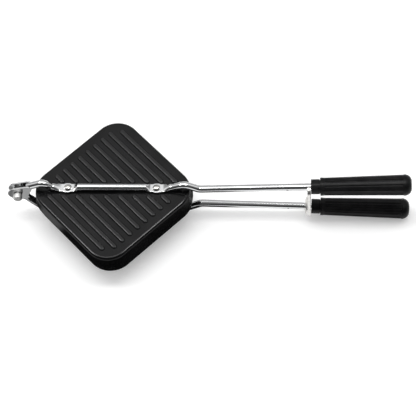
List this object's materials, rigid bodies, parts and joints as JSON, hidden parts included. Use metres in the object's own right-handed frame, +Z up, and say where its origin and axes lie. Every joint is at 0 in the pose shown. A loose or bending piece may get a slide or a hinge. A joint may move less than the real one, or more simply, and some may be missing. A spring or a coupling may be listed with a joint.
{
  "type": "pie iron",
  "caption": "Square ridged sandwich iron set corner-on to two long hinged tube arms, with fluted handles and a swinging hook latch.",
  "frame": {"origin": "half way along the closed iron's length, on its centre line, on the plane where the two trays meet", "axes": "+X from the hinge towards the handle tips, +Z up through the upper tray, +Y across"},
  "size_m": [0.4382, 0.174, 0.0768],
  "materials": {
    "tray": "dark grey non-stick coating on aluminium, satin",
    "chrome_tube": "bright chromed steel tube",
    "rivet": "smooth steel rivet",
    "washer_steel": "plain zinc-plated steel",
    "latch_steel": "nickel-plated pressed steel, slightly warm",
    "bakelite": "black phenolic moulding, semi-gloss"
  },
  "bodies": {
    "lower_half": {"lower_plate": "tray", "lower_arm": "chrome_tube", "lower_front_rivet": "rivet", "lower_rear_rivet": "rivet", "lower_front_rivet_washer": "washer_steel", "lower_rear_rivet_washer": "washer_steel", "lower_handle": "bakelite", "lower_handle_screw": "washer_steel", "lower_tube_plug": "washer_steel"},
    "upper_half": {"upper_plate": "tray", "upper_arm": "chrome_tube", "upper_front_rivet": "rivet", "upper_rear_rivet": "rivet", "upper_front_rivet_washer": "washer_steel", "upper_rear_rivet_washer": "washer_steel", "upper_handle": "bakelite", "upper_handle_screw": "washer_steel", "upper_tube_plug": "washer_steel", "hinge_pin": "rivet", "hinge_washer": "washer_steel"},
    "latch_slider": {"latch_washer": "latch_steel"},
    "latch_hook": {"latch": "latch_steel"}
  },
  "joints": [
    {"name": "opening", "type": "hinge", "parent": "lower_half", "child": "upper_half", "pos_m": [-0.20802, 0, 0.01], "axis": [0, -1, 0], "range_deg": [0, 165]},
    {"name": "latch_slide", "type": "slide", "parent": "lower_half", "child": "latch_slider", "axis": [-0.9988, 0, 0.0489], "range_m": [0, 0.0145]},
    {"name": "latch_swing", "type": "hinge", "parent": "latch_slider", "child": "latch_hook", "pos_m": [0.10865, 0, -0.02194], "axis": [0.9988, 0, -0.0489], "range_deg": [-6.5, 100]}
  ]
}
